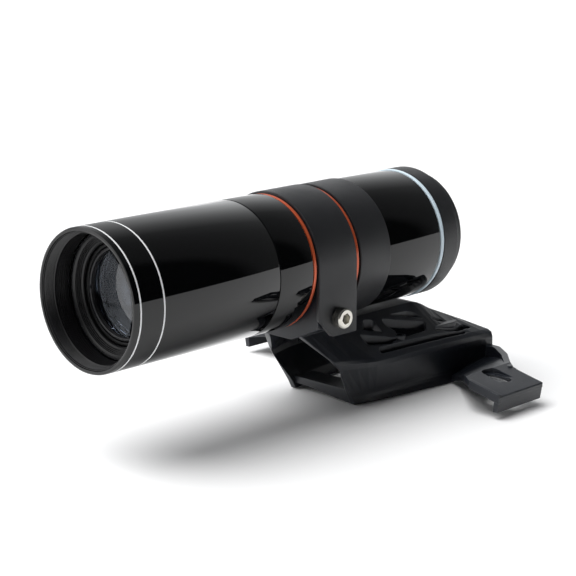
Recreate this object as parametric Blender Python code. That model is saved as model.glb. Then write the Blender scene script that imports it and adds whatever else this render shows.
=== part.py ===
"""A guide camera: a small refracting camera tube held by a strap in a hollow, ribbed bracket.

Every length is in millimetres. y runs along the tube's axis from the front rim (y = 0) to the rear,
x runs across and z up from the axis. The world origin lies midway between the two foot slots.
"""

import math

import bmesh
import bpy
from mathutils import Vector

MM = 0.001
GAP = 0.3          # air gap between pieces that touch
SLIDE_FIT = 0.08   # radial play of a running fit

# Driving dimensions
TUBE_R = 23.5
SEAM_Y = 62.5
ORANGE_FRONT_Y = 79.1
ORANGE_REAR_Y = 100.0
COLLAR_END_Y = 116.3
TRIM_Y = 144.8
CAP_STEP_Y = 153.5
CAP_END_Y = 157.9
BORE_R = 21.2
MOUTH_R = 21.7
MOUTH_DEPTH = 4.4
SEAT_R = 21.6      # barrel under the strap and the collar
STRAP_R = 24.1
SLOT = Vector((51.0, 143.4, -44.3))
FOCUS_TRAVEL = 1.0

OUTER_SEGMENTS = 64
INNER_SEGMENTS = 40

# Derived places along the tube
STRAP_FRONT = ORANGE_FRONT_Y + 1.2
STRAP_REAR = ORANGE_REAR_Y - 1.2
FOCUS_RING_Y = 11.1
CELL_Y = 13.8
SCREW_Y = (STRAP_FRONT + STRAP_REAR) / 2
SCREW_Z = -17.2
RIDGE_Z = -TUBE_R - 1.2
RIM_Z = -37.6
CREASE_Z = -51.1
BASE_Z = -54.1
REAR_Y = 173.0

AXIS = Vector((0.0, 0.0, 0.0))


def place(point):
    """A point in tube millimetres as a world position in metres."""
    x, y, z = point
    return Vector((x, y - SLOT.y, z - SLOT.z)) * MM


def clear_scene():
    for obj in list(bpy.data.objects):
        bpy.data.objects.remove(obj, do_unlink=True)


def material(name, color, roughness, metallic=0.0, alpha=1.0):
    made = bpy.data.materials.new(name)
    made.use_nodes = True
    shader = made.node_tree.nodes["Principled BSDF"]
    shader.inputs["Base Color"].default_value = (*color, 1.0)
    shader.inputs["Roughness"].default_value = roughness
    shader.inputs["Metallic"].default_value = metallic
    shader.inputs["Alpha"].default_value = alpha
    made.diffuse_color = (*color, alpha)
    return made


def finish(name, bm, surface, origin=AXIS, smooth=True):
    """Turns a bmesh in tube millimetres into a named object whose origin is at the given point."""
    bmesh.ops.recalc_face_normals(bm, faces=bm.faces)
    if bm.calc_volume(signed=True) < 0:
        bmesh.ops.reverse_faces(bm, faces=bm.faces)
    shift = place(origin)
    for vert in bm.verts:
        vert.co = place(vert.co) - shift
    mesh = bpy.data.meshes.new(name)
    bm.to_mesh(mesh)
    bm.free()
    mesh.materials.append(surface)
    if smooth:
        mesh.shade_smooth()
        mesh.set_sharp_from_angle(angle=math.radians(35))
    obj = bpy.data.objects.new(name, mesh)
    obj.location = shift
    bpy.context.scene.collection.objects.link(obj)
    return obj


def hide(obj):
    obj.hide_render = True
    obj.display_type = "WIRE"
    return obj


def boolean(obj, other, operation):
    hide(other)
    modifier = obj.modifiers.new(f"{operation.lower()} {other.name}", "BOOLEAN")
    modifier.operation = operation
    modifier.solver = "EXACT"
    modifier.object = other
    return obj


def cut(obj, *cutters):
    for cutter in cutters:
        boolean(obj, cutter, "DIFFERENCE")
    return obj


def join(obj, *pieces):
    for piece in pieces:
        boolean(obj, piece, "UNION")
    return obj


# Shape makers: each returns a bmesh in tube millimetres

def lathe(profile, segments, centre=(0.0, 0.0), axis="y"):
    """Spins (along, radius) points round an axis parallel to y or x. A profile off the axis closes on itself."""
    bm = bmesh.new()
    if axis == "y":
        direction = Vector((0, 1, 0))
        middle = Vector((centre[0], 0, centre[1]))
        outward = Vector((1, 0, 0))
    else:
        direction = Vector((1, 0, 0))
        middle = Vector((0, centre[0], centre[1]))
        outward = Vector((0, 0, 1))
    verts = [bm.verts.new(middle + direction * along + outward * radius) for along, radius in profile]
    pairs = list(zip(verts, verts[1:]))
    if profile[0][1] > 0:
        pairs.append((verts[-1], verts[0]))
    edges = [bm.edges.new(pair) for pair in pairs]
    bmesh.ops.spin(
        bm,
        geom=verts + edges,
        cent=middle,
        axis=direction,
        angle=2 * math.pi,
        steps=segments,
        use_merge=True,
    )
    bmesh.ops.remove_doubles(bm, verts=bm.verts, dist=1e-4)
    return bm


def tube(front, rear, inner, outer, segments=INNER_SEGMENTS):
    return lathe([(front, inner), (front, outer), (rear, outer), (rear, inner)], segments)


def rod(start, end, radius, centre, axis, segments=20):
    return lathe([(start, 0), (start, radius), (end, radius), (end, 0)], segments, centre, axis)


def prism(outline, low, high, axis="z"):
    """Extrudes an outline along z (x, y points), y (x, z points) or x (y, z points)."""
    order = {"z": (0, 1, 2), "y": (0, 2, 1), "x": (2, 0, 1)}[axis]
    bm = bmesh.new()
    rings = []
    for level in (low, high):
        ring = []
        for a, b in outline:
            ordered = (a, b, level)
            ring.append(bm.verts.new([ordered[i] for i in order]))
        rings.append(ring)
    bridge(bm, rings)
    return bm


def bridge(bm, rings):
    """Skins rings of equal length and caps both ends."""
    count = len(rings[0])
    for first, second in zip(rings, rings[1:]):
        for i in range(count):
            j = (i + 1) % count
            bm.faces.new((first[i], first[j], second[j], second[i]))
    bm.faces.new(rings[0])
    bm.faces.new(rings[-1])
    bmesh.ops.triangulate(bm, faces=[face for face in bm.faces if len(face.verts) > 4])


def loft(sections):
    bm = bmesh.new()
    bridge(bm, [[bm.verts.new(point) for point in section] for section in sections])
    return bm


def box(x0, x1, y0, y1, z0, z1):
    return prism([(x0, y0), (x1, y0), (x1, y1), (x0, y1)], z0, z1)


def rounded_rectangle(width, height, corner, centre=(0.0, 0.0), steps=3):
    """An outline with round corners, centred on a point."""
    points = []
    for turn, (sx, sy) in enumerate([(1, 1), (-1, 1), (-1, -1), (1, -1)]):
        cx = centre[0] + sx * (width / 2 - corner)
        cy = centre[1] + sy * (height / 2 - corner)
        for step in range(steps + 1):
            angle = math.radians(90 * (turn + step / steps))
            points.append((cx + corner * math.cos(angle), cy + corner * math.sin(angle)))
    return points


# Materials

def make_materials():
    return {
        "gloss": material("gloss_black", (0.006, 0.006, 0.007), 0.08),
        "matte": material("matte_black", (0.018, 0.018, 0.02), 0.5),
        "moulding": material("moulded_black", (0.022, 0.022, 0.025), 0.42),
        "inner": material("inner_black", (0.008, 0.008, 0.009), 0.55),
        "orange": material("orange_ring", (0.85, 0.16, 0.05), 0.35, 0.4),
        "trim": material("pale_trim", (0.72, 0.82, 0.88), 0.3),
        "steel": material("screw_steel", (0.78, 0.77, 0.72), 0.25, 1.0),
        "brass": material("insert_brass", (0.75, 0.6, 0.3), 0.3, 1.0),
        "glass": material("lens_glass", (0.5, 0.6, 0.68), 0.02, 0.0, 0.35),
        "board": material("circuit_board", (0.02, 0.16, 0.07), 0.5),
        "sensor": material("sensor_silicon", (0.08, 0.09, 0.14), 0.2, 0.5),
        "liner": material("strap_liner", (0.03, 0.03, 0.03), 0.8),
        "lamp": material("status_lamp", (0.8, 0.9, 0.85), 0.3),
    }


# Tube shells

def add_front_tube(mats):
    profile = [
        (0.0, MOUTH_R + 0.4), (0.0, TUBE_R - 0.7), (0.7, TUBE_R),
        (SEAM_Y - 0.4, TUBE_R), (SEAM_Y - GAP / 2, TUBE_R - 0.3),
        (SEAM_Y - GAP / 2, BORE_R), (MOUTH_DEPTH, BORE_R), (MOUTH_DEPTH, MOUTH_R), (0.4, MOUTH_R),
    ]
    finish("front_tube", lathe(profile, OUTER_SEGMENTS), mats["gloss"])


def add_main_barrel(mats):
    spigot_end = 126.0
    inner_r = SEAT_R - 1.8
    shoulder = ORANGE_FRONT_Y - 1.2
    profile = [
        (SEAM_Y + GAP / 2, BORE_R), (SEAM_Y + GAP / 2, TUBE_R - 0.3), (SEAM_Y + 0.4, TUBE_R),
        (shoulder, TUBE_R), (shoulder, SEAT_R), (spigot_end, SEAT_R),
        (spigot_end, inner_r), (shoulder - 2.5, inner_r), (shoulder - 2.5, BORE_R),
    ]
    finish("main_barrel", lathe(profile, OUTER_SEGMENTS), mats["gloss"])


def add_rings_and_shells(mats):
    half_ring = 0.85
    for name, middle in (("orange_ring_front", ORANGE_FRONT_Y), ("orange_ring_rear", ORANGE_REAR_Y)):
        ring = tube(middle - half_ring, middle + half_ring, SEAT_R + GAP, TUBE_R, OUTER_SEGMENTS)
        finish(name, ring, mats["orange"])
    collar_front = ORANGE_REAR_Y + 1.15
    collar = [
        (collar_front, SEAT_R + GAP), (collar_front, TUBE_R + 0.4), (COLLAR_END_Y - 0.4, TUBE_R + 0.5),
        (COLLAR_END_Y, TUBE_R + 0.1), (COLLAR_END_Y, SEAT_R + GAP),
    ]
    finish("rear_collar", lathe(collar, OUTER_SEGMENTS), mats["matte"])
    rear_tube = tube(COLLAR_END_Y + GAP, TRIM_Y - 1.1, SEAT_R + GAP, TUBE_R, OUTER_SEGMENTS)
    finish("rear_tube", rear_tube, mats["gloss"])
    finish("trim_ring", tube(TRIM_Y - 0.8, TRIM_Y + 0.8, SEAT_R + GAP, TUBE_R + 0.3, OUTER_SEGMENTS), mats["trim"])
    coupling = tube(SEAM_Y - 11, SEAM_Y + 12, BORE_R - 2.4, BORE_R - GAP)
    finish("coupling_ring", coupling, mats["inner"])
    for name, front, stop_r in (("baffle_front", 84.0, 12.5), ("baffle_rear", 108.0, 10.0)):
        rim_r = SEAT_R - 1.8 - GAP
        profile = [
            (front, stop_r), (front, rim_r), (front + 3, rim_r), (front + 3, rim_r - 1), (front + 1, rim_r - 1),
            (front + 1, stop_r),
        ]
        finish(name, lathe(profile, INNER_SEGMENTS), mats["inner"])


# Rear cap, its panel fittings and screws

PANEL_SCREWS = [(18.3 * math.cos(math.radians(a)), 18.3 * math.sin(math.radians(a))) for a in (90, 229, 311)]
USB_SIZE = (9.0, 3.3)
AUX_SIZE = 11.4
AUX_X = 7.0
AUX_Z = -4.0
USB_Z = 9.0
LAMP = (12.6, 7.0)


def add_rear_cap(mats):
    wall_front = CAP_END_Y - 4
    skirt_r = TUBE_R + 0.2
    rear_r = 0.926 * TUBE_R
    inner_r = 20.2
    profile = [
        (138.0, inner_r), (138.0, SEAT_R), (TRIM_Y + 1.1, SEAT_R), (TRIM_Y + 1.1, skirt_r),
        (CAP_STEP_Y - 0.8, skirt_r), (CAP_STEP_Y, skirt_r - 0.8), (CAP_STEP_Y, rear_r),
        (CAP_END_Y - 0.6, rear_r), (CAP_END_Y, rear_r - 0.6), (CAP_END_Y, 0), (wall_front, 0), (wall_front, inner_r),
    ]
    # The profile meets the axis in its middle, so it starts and ends there once it is turned round.
    start = profile.index((wall_front, 0))
    profile = profile[start:] + profile[:start]
    cap = finish("rear_cap", lathe(profile, OUTER_SEGMENTS), mats["matte"])
    for i, (x, z) in enumerate(PANEL_SCREWS):
        through = finish(f"cutter_screw_{i}", rod(wall_front - 1, CAP_END_Y + 1, 1.55, (x, z), "y", 16), mats["matte"])
        head = finish(f"cutter_head_{i}", rod(CAP_END_Y - 2.1, CAP_END_Y + 1, 2.7, (x, z), "y", 20), mats["matte"])
        cut(cap, through, head)
    usb = rounded_rectangle(USB_SIZE[0] + 0.7, USB_SIZE[1] + 0.7, 1.6, (0, USB_Z))
    cut(cap, finish("cutter_usb", prism(usb, wall_front - 1, CAP_END_Y + 1, "y"), mats["matte"]))
    for side in (-1, 1):
        half, x = AUX_SIZE / 2 + GAP, side * AUX_X
        hole = box(x - half, x + half, wall_front - 1, CAP_END_Y + 1, AUX_Z - half, AUX_Z + half)
        cut(cap, finish(f"cutter_aux_{side}", hole, mats["matte"]))
    cut(cap, finish("cutter_lamp", rod(wall_front - 1, CAP_END_Y + 1, 1.6, LAMP, "y", 16), mats["matte"]))


def add_panel_fittings(mats):
    socket_front = TRIM_Y + 0.6
    socket_rear = CAP_END_Y - 0.5
    outer = rounded_rectangle(*USB_SIZE, 1.5, (0, USB_Z))
    mouth = rounded_rectangle(USB_SIZE[0] - 1.0, USB_SIZE[1] - 1.0, 1.0, (0, USB_Z))
    tongue = rounded_rectangle(USB_SIZE[0] - 3.0, 0.7, 0.2, (0, USB_Z), 1)
    usb = finish("usb_socket", prism(outer, socket_front + 3, socket_rear, "y"), mats["steel"])
    cut(usb, finish("cutter_usb_mouth", prism(mouth, socket_rear - 6, socket_rear + 1, "y"), mats["steel"]))
    join(usb, finish("joiner_usb_tongue", prism(tongue, socket_rear - 6.5, socket_rear - 0.6, "y"), mats["steel"]))
    for side, name in ((-1, "aux_socket_left"), (1, "aux_socket_right")):
        centre = (side * AUX_X, AUX_Z)
        body = rounded_rectangle(AUX_SIZE, AUX_SIZE, 0.6, centre, 1)
        mouth = rounded_rectangle(AUX_SIZE - 1.8, AUX_SIZE - 3.0, 0.8, centre, 1)
        sections = []
        for outline, y in ((body, socket_front), (body, socket_rear), (mouth, socket_rear), (mouth, socket_rear - 9)):
            sections.append([(x, y, z) for x, z in outline])
        finish(name, loft(sections), mats["inner"])
    finish("status_led", rod(socket_front, CAP_END_Y - 0.3, 1.25, LAMP, "y", 16), mats["lamp"])
    for (x, z), tag in zip(PANEL_SCREWS, "abc"):
        top = CAP_END_Y - 0.4
        head = [(150.5, 0), (150.5, 1.2), (top - 1.4, 1.2), (top - 1.4, 2.2), (top - 0.3, 2.2), (top, 1.8), (top, 0)]
        screw = finish(f"cap_screw_{tag}", lathe(head, 16, (x, z)), mats["steel"])
        cut(screw, finish(f"cutter_drive_{tag}", rod(top - 0.9, top + 1, 1.0, (x, z), "y", 6), mats["steel"]))


# Optics

def lens_profile(front, rear, sag_front, sag_rear, radius, steps=5):
    """A lens section from the axis out and back. A positive sag bulges that face away from the lens."""
    def face(edge, sag):
        return [(edge + sag * (1 - (i / steps) ** 2), radius * i / steps) for i in range(steps + 1)]
    return face(front, -sag_front) + list(reversed(face(rear, sag_rear)))


def add_optics(mats):
    ring_rear = FOCUS_RING_Y + 6
    bore = 17.0
    dish = [
        (FOCUS_RING_Y + 2.0, bore), (FOCUS_RING_Y + 1.9, bore + 0.9), (FOCUS_RING_Y + 1.1, bore + 2.4),
        (FOCUS_RING_Y, BORE_R - 1.0), (FOCUS_RING_Y, BORE_R - SLIDE_FIT), (ring_rear, BORE_R - SLIDE_FIT), (ring_rear, bore),
    ]
    finish("focus_ring", lathe(dish, OUTER_SEGMENTS), mats["inner"])

    flange = ring_rear + FOCUS_TRAVEL + GAP
    cell = [
        (CELL_Y, 15.7), (CELL_Y, 16.7), (flange, 16.7), (flange, BORE_R - GAP), (flange + 2.4, BORE_R - GAP),
        (flange + 2.4, 16.7), (46.0, 16.7), (46.0, 13.0), (44.4, 13.0), (44.4, 15.0), (15.9, 15.0), (15.9, 15.7),
    ]
    finish("lens_cell", lathe(cell, INNER_SEGMENTS), mats["inner"])
    ring = [(CELL_Y + 0.1, 14.3), (CELL_Y - 0.1, 14.7), (CELL_Y - 0.1, 15.3), (15.6, 15.3), (15.6, 14.3)]
    finish("retaining_ring", lathe(ring, OUTER_SEGMENTS), mats["inner"])

    glass_r = 14.7
    finish("lens_front", lathe(lens_profile(16.2, 18.6, 1.9, 1.0, glass_r), INNER_SEGMENTS), mats["glass"])
    finish("lens_second", lathe(lens_profile(21.2, 24.6, 1.0, -1.2, glass_r), INNER_SEGMENTS), mats["glass"])
    finish("lens_spacer", tube(24.9, 33.0, glass_r - 1.0, glass_r), mats["inner"])
    finish("lens_third", lathe(lens_profile(33.3, 36.3, -0.9, 1.2, glass_r), INNER_SEGMENTS), mats["glass"])
    finish("lens_rear", lathe(lens_profile(39.2, 43.2, 1.2, 0.9, glass_r), INNER_SEGMENTS), mats["glass"])


# Imaging stack

def add_electronics(mats):
    plate = finish("sensor_plate", tube(128.0, 130.0, 8.5, SEAT_R, INNER_SEGMENTS), mats["matte"])
    for angle in (45, 135, 225, 315):
        x, z = (16.5 * math.cos(math.radians(angle)), 16.5 * math.sin(math.radians(angle)))
        cut(plate, finish(f"cutter_plate_{angle}", rod(127, 131, 1.3, (x, z), "y", 12), mats["matte"]))
    finish("sensor_window", prism(rounded_rectangle(13, 11, 0.6), 130.3, 131.1, "y"), mats["glass"])
    finish("image_sensor", prism(rounded_rectangle(13.5, 11.5, 0.4, steps=1), 131.4, 132.8, "y"), mats["sensor"])
    finish("sensor_board", prism(rounded_rectangle(28, 28, 1.5, steps=2), 133.1, 134.7, "y"), mats["board"])
    board = finish("main_board", rod(142.9, 144.5, 19.6, (0, 0), "y", INNER_SEGMENTS), mats["board"])
    cut(board, finish("cutter_board_notch", box(-3, 3, 142, 146, 16, 21), mats["board"]))


# Strap, its liner, screws and inserts

def add_strap(mats):
    """An upside-down U over the tube. Its ears' lower front corners are cut off at a slant."""
    inner = SEAT_R + 0.8
    ear_bottom = -23.6
    slant = 6.4
    steps = 28

    def station(direction, height, front):
        """The band's four corners where it crosses a line from the axis, at a given drop below it."""
        drop = Vector((0.0, 0.0, -height))
        return [
            direction * radius + drop + Vector((0.0, y, 0.0))
            for radius, y in ((inner, front), (STRAP_R, front), (STRAP_R, STRAP_REAR), (inner, STRAP_REAR))
        ]

    right = Vector((1.0, 0.0, 0.0))
    ear = [(-ear_bottom, STRAP_FRONT + slant), (-ear_bottom - slant, STRAP_FRONT)]
    stations = [station(right, height, front) for height, front in ear]
    for step in range(steps + 1):
        angle = math.pi * step / steps
        stations.append(station(Vector((math.cos(angle), 0.0, math.sin(angle))), 0.0, STRAP_FRONT))
    stations += [station(-right, height, front) for height, front in reversed(ear)]
    strap = finish("clamp_strap", loft(stations), mats["matte"])
    hole = rod(-STRAP_R - 1, STRAP_R + 1, 2.3, (SCREW_Y, SCREW_Z), "x", 20)
    cut(strap, finish("cutter_ear_hole", hole, mats["matte"]))
    liner = tube(STRAP_FRONT + 0.4, STRAP_REAR - 0.4, SEAT_R + SLIDE_FIT, SEAT_R + 0.5, OUTER_SEGMENTS)
    finish("strap_liner", liner, mats["liner"])


def add_clamp_screw(name, side, mats):
    """A socket-head cap screw along x: knurled head, hexagon socket and plain shank."""
    head_r, head_h, shank_r = 3.6, 3.3, 1.95
    seat = STRAP_R + GAP
    shape = [
        (seat - 6.5, 0), (seat - 6.5, shank_r - 0.3), (seat - 6.1, shank_r), (seat, shank_r), (seat, head_r),
        (seat + head_h - 0.4, head_r), (seat + head_h, head_r - 0.4), (seat + head_h, 0),
    ]
    pivot = Vector((side * seat, SCREW_Y, SCREW_Z))
    screw = finish(name, lathe([(side * x, r) for x, r in shape], 24, (SCREW_Y, SCREW_Z), "x"), mats["steel"], pivot)
    start, end = sorted((side * (seat + head_h - 2.2), side * (seat + head_h + 1)))
    cut(screw, finish(f"cutter_{name}", rod(start, end, 1.75, (SCREW_Y, SCREW_Z), "x", 6), mats["steel"]))


def add_insert(name, side, mats):
    start, end = sorted((side * 17.8, side * 21.9))
    profile = [(start, 2.1), (start, 2.9), (end, 2.9), (end, 2.1)]
    finish(name, lathe(profile, 20, (SCREW_Y, SCREW_Z), "x"), mats["brass"])


# Bracket

WALL = 2.2
HIP_Y = 145.7

# One side of the hull as (x, y, z) at five stations: ridge edge, wall rim, crease and base
HULL = [
    [(8.5, 85.0, RIDGE_Z), (16.8, 97.4, RIM_Z), (15.7, 105.9, CREASE_Z), (15.6, 107.4, BASE_Z)],
    [(8.5, 104.0, RIDGE_Z), (22.9, 111.2, RIM_Z), (17.0, 117.0, CREASE_Z), (17.8, 117.6, BASE_Z)],
    [(8.5, HIP_Y, RIDGE_Z), (24.5, HIP_Y, RIM_Z), (20.0, HIP_Y, CREASE_Z), (21.6, HIP_Y, BASE_Z)],
    [(9.6, 155.0, -28.5), (24.8, 155.0, RIM_Z), (20.8, 155.0, CREASE_Z), (22.4, 155.0, BASE_Z)],
    [(12.0, REAR_Y, -36.0), (25.4, REAR_Y, RIM_Z), (25.6, REAR_Y, -47.6), (25.4, REAR_Y, -49.0)],
]


def between(stations, steps):
    """More stations between the given ones, along straight lines eased to meet smoothly."""
    result = []
    last = len(stations) - 1
    for i in range(last):
        before = stations[max(0, i - 1)]
        after = stations[min(last, i + 2)]
        for step in range(steps):
            t = step / steps
            ring = []
            for p0, p1, p2, p3 in zip(before, stations[i], stations[i + 1], after):
                p0, p1, p2, p3 = (Vector(p) for p in (p0, p1, p2, p3))
                leave = (p2 - p0) * (0.5 if i > 0 else 1.0) * 0.55
                arrive = (p3 - p1) * (0.5 if i + 2 <= last else 1.0) * 0.55
                straight = p2 - p1
                leave = leave.project(straight) if i == 0 else leave
                a = 2 * t ** 3 - 3 * t ** 2 + 1
                b = t ** 3 - 2 * t ** 2 + t
                c = -2 * t ** 3 + 3 * t ** 2
                d = t ** 3 - t ** 2
                ring.append(p1 * a + leave * b + p2 * c + arrive * d)
            result.append(ring)
    result.append([Vector(p) for p in stations[-1]])
    return result


def soften(points, radius, steps=2):
    """Rounds the inner corners of a chain of points."""
    result = [points[0]]
    for before, here, after in zip(points, points[1:], points[2:]):
        back, forth = before - here, after - here
        reach = min(radius, back.length * 0.4, forth.length * 0.4)
        start, end = here + back.normalized() * reach, here + forth.normalized() * reach
        for step in range(steps + 1):
            t = step / steps
            result.append(start * (1 - t) ** 2 + here * (2 * t * (1 - t)) + end * t ** 2)
    return result + [points[-1]]


def mirrored(side):
    """A closed ring from one side's points, right side first."""
    return side + [Vector((-p.x, p.y, p.z)) for p in reversed(side)]


def round_outline(points, radius, steps=3):
    """Rounds every corner of a closed outline of (a, b) points."""
    result = []
    for i, point in enumerate(points):
        here = Vector(point)
        back = Vector(points[i - 1]) - here
        forth = Vector(points[(i + 1) % len(points)]) - here
        reach = min(radius, back.length * 0.45, forth.length * 0.45)
        start, end = here + back.normalized() * reach, here + forth.normalized() * reach
        for step in range(steps + 1):
            t = step / steps
            result.append(tuple(start * (1 - t) ** 2 + here * (2 * t * (1 - t)) + end * t ** 2))
    return result


def hull_outside():
    return loft([mirrored(soften(side, 2.2)) for side in between(HULL, 4)])


def hull_cavity():
    """The hull's hollow, open at the front and below, closed at the rear. Its walls thicken at the front."""
    sections = []
    last = len(HULL) - 1
    for i, (ridge, rim, crease, base) in enumerate(HULL):
        shift = Vector((0.0, -9.0 if i == 0 else (-2.4 if i == last else 0.0), 0.0))
        extra = 1.5 if i == 0 else 0.0
        sections.append([
            Vector(ridge) + shift + Vector((-1.2, 0.0, -2.3)),
            Vector(rim) + shift + Vector((-WALL - extra, 0.0, -1.5)),
            Vector(crease) + shift + Vector((-WALL - extra, 0.0, 0.0)),
            Vector(base) + shift + Vector((-WALL - extra, 0.0, -4.0)),
        ])
    return loft([mirrored(soften(side, 1.5, 1)) for side in between(sections, 4)])


# Openings between the roof's ribs on the +X slope, as (x, y) outlines
ROOF_HOLES = [
    [(13.9, 111.3), (17.7, 112.0), (19.4, 122.6), (18.3, 127.4)],
    [(10.0, 117.6), (12.8, 114.0), (15.2, 122.4), (10.7, 121.8)],
    [(11.2, 126.2), (13.4, 125.6), (17.2, 129.4), (18.8, 130.4), (18.7, 142.4), (15.9, 145.0)],
    [(10.6, 131.2), (14.6, 145.4), (11.9, 143.2), (10.9, 140.2)],
    [(18.6, 147.6), (19.6, 147.2), (21.4, 159.0), (20.6, 166.4), (17.8, 164.4), (19.7, 158.4)],
    [(14.2, 149.6), (15.7, 149.8), (16.4, 155.6), (15.0, 155.2)],
]
ROOF_PAD = [(15.8, 146.0), (18.4, 147.6), (19.2, 158.6), (17.2, 161.8), (16.6, 156.0)]
WALL_SLOT = [(19.2, 115.6), (21.2, 115.0), (22.7, HIP_Y), (23.0, 160.0), (21.7, 161.2), (20.5, HIP_Y)]
ROOF_BOSS = (17.2, 128.9)


def add_bracket(mats):
    skin = mats["moulding"]
    bracket = finish("bracket", hull_outside(), skin)
    cut(bracket, finish("cutter_cavity", hull_cavity(), skin))

    # Saddle under the tube, between the strap's ears
    front, rear = STRAP_FRONT + 1.2, STRAP_REAR - 0.6
    wing, wing_top = SEAT_R + 0.5, -7.0
    saddle_side = [(wing, wing_top), (wing, -20.6), (9.6, RIDGE_Z - 1.6)]
    outline = saddle_side + [(-x, z) for x, z in reversed(saddle_side)]
    join(bracket, finish("joiner_saddle", prism(outline, front, rear, "y"), skin))
    cradle = rod(front - 2, rear + 2, SEAT_R + 0.8, (0, 0), "y", OUTER_SEGMENTS)
    cut(bracket, finish("cutter_cradle", cradle, skin))
    for side, tag in ((1, "near"), (-1, "far")):
        start, end = sorted((side * 17.5, side * (wing + 1)))
        cut(bracket, finish(f"cutter_insert_{tag}", rod(start, end, 3.2, (SCREW_Y, SCREW_Z), "x", 20), skin))

    # Floor of the front opening, a little deeper on the +X side, with a raised edge
    edge = [(-15.2, -49.4), (15.2, -49.4), (15.3, BASE_Z), (6.0, -53.4), (-6.0, -52.2), (-15.3, -51.8)]
    join(bracket, finish("joiner_lip", prism(edge, 107.4, 109.6, "y"), skin))
    floor = [(-15.0, -50.0), (15.0, -50.0), (14.9, -51.5), (-14.9, -51.5)]
    join(bracket, finish("joiner_floor", prism(floor, 109.0, 118.5, "y"), skin))

    for side in (1, -1):
        tag = "near" if side > 0 else "far"
        pad = round_outline([(side * x, y) for x, y in ROOF_PAD], 1.2)
        join(bracket, finish(f"joiner_pad_{tag}", prism(pad, RIM_Z - 0.6, RIM_Z + 5.0), skin))
        for i, hole in enumerate(ROOF_HOLES):
            outline = round_outline([(side * x, y) for x, y in hole], 0.9)
            cut(bracket, finish(f"cutter_roof_{tag}_{i}", prism(outline, RIM_Z - 4, RIDGE_Z + 4), skin))
        slot = round_outline([(side * x, y) for x, y in WALL_SLOT], 0.8)
        cut(bracket, finish(f"cutter_slot_{tag}", prism(slot, RIM_Z - 2.0, RIM_Z + 6), skin))
        boss_x, boss_y = ROOF_BOSS
        join(bracket, finish(f"joiner_boss_{tag}", rod_z(side * boss_x, boss_y, 2.4, RIM_Z - 3.0, RIM_Z + 5.4), skin))
        cut(bracket, finish(f"cutter_boss_{tag}", rod_z(side * boss_x, boss_y, 1.2, RIM_Z - 1.0, RIM_Z + 8, 12), skin))
        add_foot(bracket, side, tag, skin)


def rod_z(x, y, radius, low, high, segments=20):
    points = []
    for i in range(segments):
        angle = 2 * math.pi * i / segments
        points.append((x + radius * math.cos(angle), y + radius * math.sin(angle)))
    return prism(points, low, high)


FOOT_FALL = 0.2157                 # the foot plate's fall per millimetre outward
FOOT_FRONT, FOOT_REAR = 129.2, 154.2
FOOT_END = 62.6
PLATE = 1.7
RECESS_FLOOR = -44.35


def plate_top(x):
    return -43.5 - FOOT_FALL * (x - 51.2)


def add_foot(bracket, side, tag, skin):
    """A slotted plate that slopes down outward to a turned-down lip, on an arm that sweeps back to the hull."""
    def station(x, front, rear, top, bottom, front_top=None):
        front_top = top if front_top is None else front_top
        return [(side * x, front, bottom), (side * x, rear, bottom), (side * x, rear, top), (side * x, front, front_top)]
    sweep = between([
        station(22.6, 152.8, 171.0, -47.6, -53.3, -51.6),
        station(30.0, 148.0, 171.2, -46.0, -51.0, -49.2),
        station(38.0, 140.4, 165.0, -43.7, -47.9, -45.4),
        station(46.0, FOOT_FRONT + 2.4, 156.6, plate_top(46.0), plate_top(46.0) - 2.9),
    ], 4)[:-1]
    plate = []
    for x, spread, thick in ((46.0, 2.4, 2.9), (49.0, 0.6, 2.2), (52.0, 0.0, PLATE), (FOOT_END, 0.0, PLATE)):
        corners = station(x, FOOT_FRONT + spread, FOOT_REAR + spread, plate_top(x), plate_top(x) - thick)
        plate.append([Vector(corner) for corner in corners])
    join(bracket, finish(f"joiner_arm_{tag}", loft(sweep + plate), skin))
    tip = plate_top(FOOT_END)
    lip = [
        (side * (FOOT_END - 2.0), tip - 0.3), (side * (FOOT_END + 0.15), tip - 0.3),
        (side * (FOOT_END - 0.8), -51.9), (side * (FOOT_END - 2.6), -51.9),
    ]
    join(bracket, finish(f"joiner_foot_lip_{tag}", prism(lip, FOOT_FRONT + 0.1, FOOT_REAR - 0.1, "y"), skin))
    inner_x, outer_x = 49.4, FOOT_END - 0.05
    rail = [
        (side * inner_x, plate_top(inner_x) - 2.6), (side * outer_x, plate_top(outer_x) - 2.6),
        (side * outer_x, plate_top(outer_x) + 0.5), (side * inner_x, plate_top(inner_x) + 0.5),
    ]
    join(bracket, finish(f"joiner_rail_{tag}", prism(rail, FOOT_FRONT - 0.05, FOOT_FRONT + 1.6, "y"), skin))
    flange = [
        (side * 24.6, 172.0), (side * 30.0, 171.6), (side * 38.0, 165.8), (side * 46.0, 157.2), (side * 49.4, 154.4),
        (side * 49.0, 152.4), (side * 45.2, 154.8), (side * 37.2, 163.2), (side * 29.4, 169.0), (side * 24.6, 169.6),
    ]
    join(bracket, finish(f"joiner_flange_{tag}", prism(round_outline(flange, 1.0, 2), -46.8, -42.6), skin))
    recess = rounded_rectangle(13.0, 8.0, 3.9, (side * (SLOT.x + 0.2), SLOT.y), 5)
    cut(bracket, finish(f"cutter_recess_{tag}", prism(recess, RECESS_FLOOR, SLOT.z + 6), skin))
    slot = rounded_rectangle(11.0, 4.4, 2.19, (side * SLOT.x, SLOT.y), 4)
    cut(bracket, finish(f"cutter_foot_slot_{tag}", prism(slot, SLOT.z - 6, SLOT.z + 5), skin))


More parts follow.
